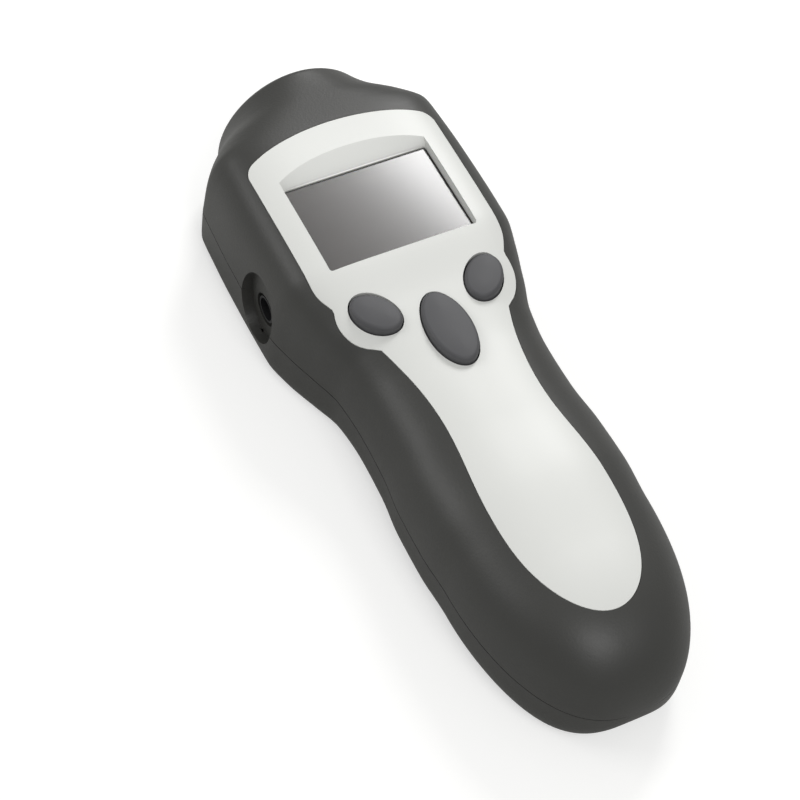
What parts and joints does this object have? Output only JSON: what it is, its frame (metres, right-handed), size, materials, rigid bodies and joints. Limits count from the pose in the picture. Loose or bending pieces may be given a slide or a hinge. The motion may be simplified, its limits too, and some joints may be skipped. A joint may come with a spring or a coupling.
{
  "type": "laser tachometer",
  "caption": "Handheld laser tachometer with a display, oval push buttons, a nose window, a side power jack and a hinged battery door.",
  "frame": {"origin": "centre of the footprint on the flat back that it rests on", "axes": "+X to the right seen from the face, +Y along the body to the nose, +Z out of the face"},
  "size_m": [0.0682, 0.19, 0.0394],
  "materials": {
    "shell_grey": "fine-textured moulded ABS",
    "panel_light": "satin moulded ABS",
    "button_grey": "soft-touch moulded plastic",
    "window_clear": "polished clear plastic over the display",
    "nose_filter": "polished dark red filter plastic",
    "lens_clear": "polished optical plastic",
    "lcd_glass": "blank liquid crystal cell",
    "foam_black": "thin foam gasket",
    "white_frame": "moulded white plastic",
    "zebra_rubber": "layered conductive rubber",
    "board_green": "solder mask on glass-fibre board",
    "black_plastic": "moulded black plastic",
    "chip_black": "moulded epoxy",
    "tin_metal": "tinned steel",
    "spring_steel": "nickel-plated spring wire",
    "brass_barrel": "turned brass",
    "gold_can": "gold-flashed metal can",
    "can_blue": "sleeved capacitor",
    "wire_red": "stranded wire with a plastic jacket",
    "cell_jacket": "plain printed-film jacket"
  },
  "bodies": {
    "case": {"front_shell": "shell_grey", "rear_shell": "shell_grey", "face_panel": "panel_light", "display_window": "window_clear", "window_gasket": "foam_black", "lcd_module": "lcd_glass", "lcd_frame": "white_frame", "zebra_strips": "zebra_rubber", "circuit_board": "board_green", "controller_chip": "chip_black", "crystal_can": "tin_metal", "capacitors": "can_blue", "tact_switches": "tin_metal", "board_screws": "tin_metal", "case_screws": "tin_metal", "optics_block": "black_plastic", "laser_module": "brass_barrel", "laser_lens": "lens_clear", "receiver_lens": "lens_clear", "photo_sensor": "gold_can", "sensor_board": "board_green", "board_header": "black_plastic", "nose_window": "nose_filter", "dc_jack": "black_plastic", "jack_pin": "tin_metal", "jack_leads": "wire_red", "battery_tray": "black_plastic", "battery_1": "cell_jacket", "battery_2": "cell_jacket", "battery_3": "cell_jacket", "battery_4": "cell_jacket", "battery_springs": "spring_steel", "battery_contacts": "tin_metal", "battery_leads": "wire_red"},
    "mem_button": {"mem_button": "button_grey", "mem_plunger": "black_plastic"},
    "mode_button": {"mode_button": "button_grey", "mode_plunger": "black_plastic"},
    "meas_button": {"meas_button": "button_grey", "meas_plunger": "black_plastic"},
    "battery_door": {"battery_door": "shell_grey"}
  },
  "joints": [
    {"name": "mem_button_press", "type": "slide", "parent": "case", "child": "mem_button", "axis": [0, 0, -1], "range_m": [0, 0.0006], "stiffness_N_per_m": 900},
    {"name": "mode_button_press", "type": "slide", "parent": "case", "child": "mode_button", "axis": [0, 0, -1], "range_m": [0, 0.0006], "stiffness_N_per_m": 900},
    {"name": "meas_button_press", "type": "slide", "parent": "case", "child": "meas_button", "axis": [0, 0, -1], "range_m": [0, 0.0006], "stiffness_N_per_m": 900},
    {"name": "battery_door_hinge", "type": "hinge", "parent": "case", "child": "battery_door", "pos_m": [0, -0.069, 0.0011], "axis": [-1, 0, 0], "range_deg": [0, 75]}
  ]
}
